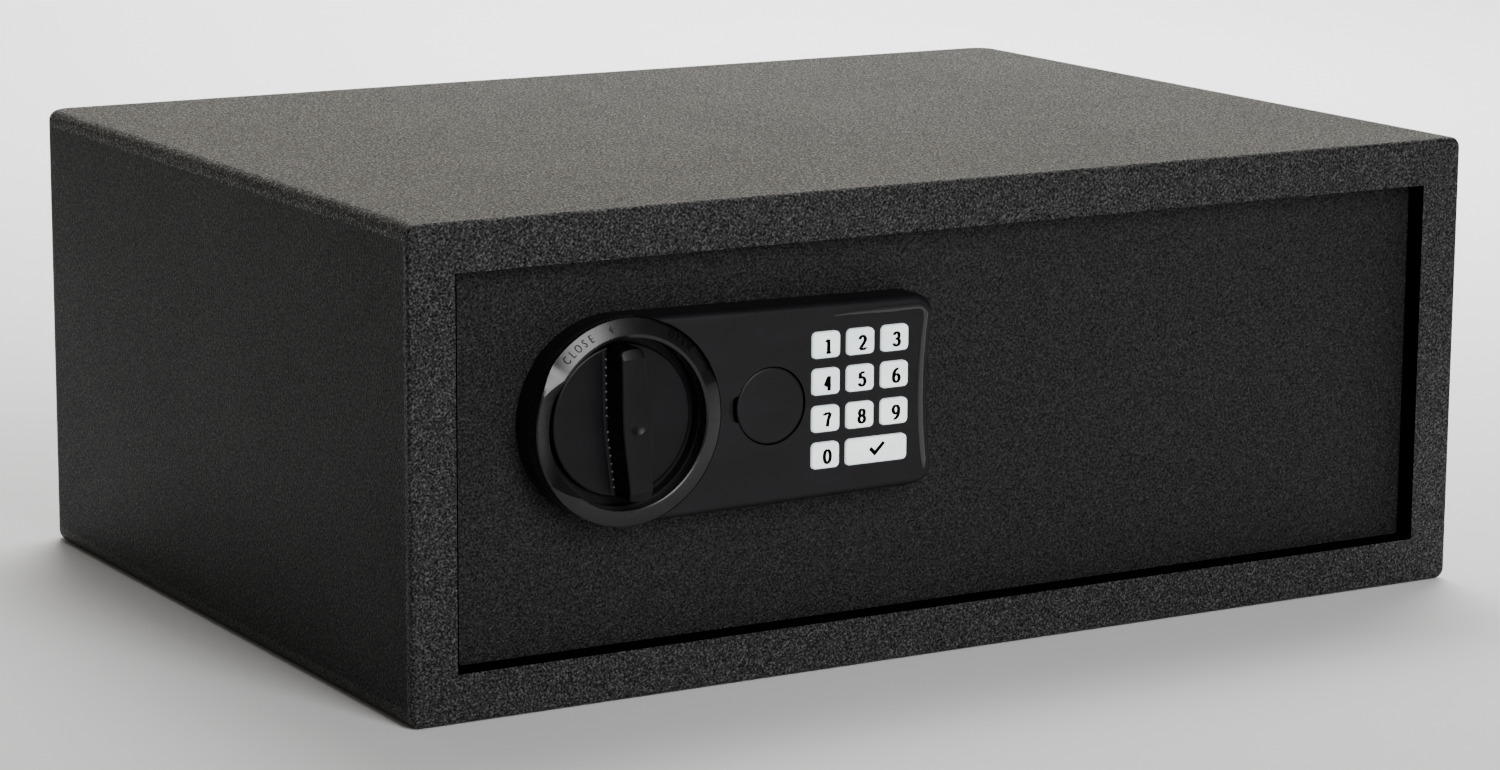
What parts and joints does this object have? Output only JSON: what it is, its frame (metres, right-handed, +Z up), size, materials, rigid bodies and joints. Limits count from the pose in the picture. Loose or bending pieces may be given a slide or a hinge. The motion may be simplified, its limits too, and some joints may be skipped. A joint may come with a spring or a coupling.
{
  "type": "in-room safe",
  "caption": "Low steel in-room safe for a laptop, with a recessed side-hinged door, round turn knob, keypad, covered key override and sliding bolts.",
  "frame": {"origin": "middle of the body's footprint, on the face that it stands on", "axes": "+Z up, the door faces -Y, +X is the right-hand side seen from the front"},
  "size_m": [0.49, 0.3725, 0.19],
  "materials": {
    "powder_coat": "black textured powder coat, matt to satin",
    "lock_plastic": "black moulded plastic, fine matt grain",
    "knob_plastic": "black moulded plastic, satin",
    "key_plastic": "bluish white, satin",
    "zinc_plate": "zinc plated",
    "bright_steel": "turned steel",
    "brass": "turned brass",
    "carpet": "needle felt",
    "rubber_pad": "moulded silicone rubber",
    "circuit_board": "solder mask",
    "ribbon_cable": "flat cable",
    "battery_sleeve": "printed sleeve without any mark",
    "reset_red": "gloss"
  },
  "bodies": {
    "body": {"left_side": "powder_coat", "right_side": "powder_coat", "back_panel": "powder_coat", "top_panel": "powder_coat", "base_panel": "powder_coat", "front_frame": "powder_coat", "floor_mat": "carpet"},
    "door": {"door_plate": "powder_coat", "hinge_pin_upper": "powder_coat", "hinge_pin_lower": "powder_coat", "inner_cover": "powder_coat", "cover_post_1": "zinc_plate", "cover_post_2": "zinc_plate", "cover_post_3": "zinc_plate", "cover_post_4": "zinc_plate", "cover_screw_1": "bright_steel", "cover_screw_2": "bright_steel", "cover_screw_3": "bright_steel", "cover_screw_4": "bright_steel", "bolt_guide": "zinc_plate", "guide_stud_1": "bright_steel", "guide_stud_2": "bright_steel", "lock_housing": "lock_plastic", "knob_bezel": "knob_plastic", "keypad_membrane": "rubber_pad", "keypad_board": "circuit_board", "keypad_ribbon": "ribbon_cable", "main_board": "circuit_board", "lock_barrel": "zinc_plate", "solenoid_coil": "zinc_plate", "spindle_bush": "brass", "battery_case": "lock_plastic", "battery_1": "battery_sleeve", "battery_2": "battery_sleeve", "battery_3": "battery_sleeve", "battery_4": "battery_sleeve", "reset_switch": "lock_plastic"},
    "knob_assembly": {"knob": "knob_plastic", "knob_spindle": "bright_steel", "crank": "zinc_plate"},
    "bolt_assembly": {"bolt_carriage": "zinc_plate", "bolt_upper": "bright_steel", "bolt_lower": "bright_steel"},
    "plunger": {"solenoid_plunger": "bright_steel"},
    "cap": {"override_cover": "lock_plastic"},
    "lock_plug": {"key_plug": "brass", "override_cam": "zinc_plate"},
    "lid": {"battery_lid": "lock_plastic"},
    "reset": {"reset_button": "reset_red"},
    "key_0_cap": {"key_0": "key_plastic"},
    "key_1_cap": {"key_1": "key_plastic"},
    "key_2_cap": {"key_2": "key_plastic"},
    "key_3_cap": {"key_3": "key_plastic"},
    "key_4_cap": {"key_4": "key_plastic"},
    "key_5_cap": {"key_5": "key_plastic"},
    "key_6_cap": {"key_6": "key_plastic"},
    "key_7_cap": {"key_7": "key_plastic"},
    "key_8_cap": {"key_8": "key_plastic"},
    "key_9_cap": {"key_9": "key_plastic"},
    "key_enter_cap": {"key_enter": "key_plastic"}
  },
  "joints": [
    {"name": "door_swing", "type": "hinge", "parent": "body", "child": "door", "pos_m": [0.221, -0.1675, 0.095], "axis": [0, 0, 1], "range_deg": [0, 100]},
    {"name": "knob_turn", "type": "hinge", "parent": "door", "child": "knob_assembly", "pos_m": [-0.156, -0.18, 0.109], "axis": [0, -1, 0], "range_deg": [0, 90]},
    {"name": "bolt_throw", "type": "slide", "parent": "door", "child": "bolt_assembly", "axis": [-1, 0, 0], "range_m": [0, 0.0198]},
    {"name": "solenoid_pull", "type": "slide", "parent": "door", "child": "plunger", "axis": [0, 0, 1], "range_m": [0, 0.005], "stiffness_N_per_m": 80, "springref_m": -0.003},
    {"name": "override_cover_pull", "type": "slide", "parent": "door", "child": "cap", "axis": [0, -1, 0], "range_m": [0, 0.03]},
    {"name": "key_turn", "type": "hinge", "parent": "door", "child": "lock_plug", "pos_m": [-0.0938, -0.18, 0.1093], "axis": [0, -1, 0], "range_deg": [0, 90]},
    {"name": "battery_lid_slide", "type": "slide", "parent": "door", "child": "lid", "axis": [1, 0, 0], "range_m": [0, 0.012]},
    {"name": "reset_press", "type": "slide", "parent": "door", "child": "reset", "axis": [0, -1, 0], "range_m": [0, 0.002], "stiffness_N_per_m": 400},
    {"name": "key_0_press", "type": "slide", "parent": "door", "child": "key_0_cap", "axis": [0, 1, 0], "range_m": [0, 0.0015], "stiffness_N_per_m": 400},
    {"name": "key_1_press", "type": "slide", "parent": "door", "child": "key_1_cap", "axis": [0, 1, 0], "range_m": [0, 0.0015], "stiffness_N_per_m": 400},
    {"name": "key_2_press", "type": "slide", "parent": "door", "child": "key_2_cap", "axis": [0, 1, 0], "range_m": [0, 0.0015], "stiffness_N_per_m": 400},
    {"name": "key_3_press", "type": "slide", "parent": "door", "child": "key_3_cap", "axis": [0, 1, 0], "range_m": [0, 0.0015], "stiffness_N_per_m": 400},
    {"name": "key_4_press", "type": "slide", "parent": "door", "child": "key_4_cap", "axis": [0, 1, 0], "range_m": [0, 0.0015], "stiffness_N_per_m": 400},
    {"name": "key_5_press", "type": "slide", "parent": "door", "child": "key_5_cap", "axis": [0, 1, 0], "range_m": [0, 0.0015], "stiffness_N_per_m": 400},
    {"name": "key_6_press", "type": "slide", "parent": "door", "child": "key_6_cap", "axis": [0, 1, 0], "range_m": [0, 0.0015], "stiffness_N_per_m": 400},
    {"name": "key_7_press", "type": "slide", "parent": "door", "child": "key_7_cap", "axis": [0, 1, 0], "range_m": [0, 0.0015], "stiffness_N_per_m": 400},
    {"name": "key_8_press", "type": "slide", "parent": "door", "child": "key_8_cap", "axis": [0, 1, 0], "range_m": [0, 0.0015], "stiffness_N_per_m": 400},
    {"name": "key_9_press", "type": "slide", "parent": "door", "child": "key_9_cap", "axis": [0, 1, 0], "range_m": [0, 0.0015], "stiffness_N_per_m": 400},
    {"name": "key_enter_press", "type": "slide", "parent": "door", "child": "key_enter_cap", "axis": [0, 1, 0], "range_m": [0, 0.0015], "stiffness_N_per_m": 400}
  ],
  "couplings": [
    {"joint": "knob_turn", "follows": "bolt_throw", "rad_per_m": 79.33}
  ]
}
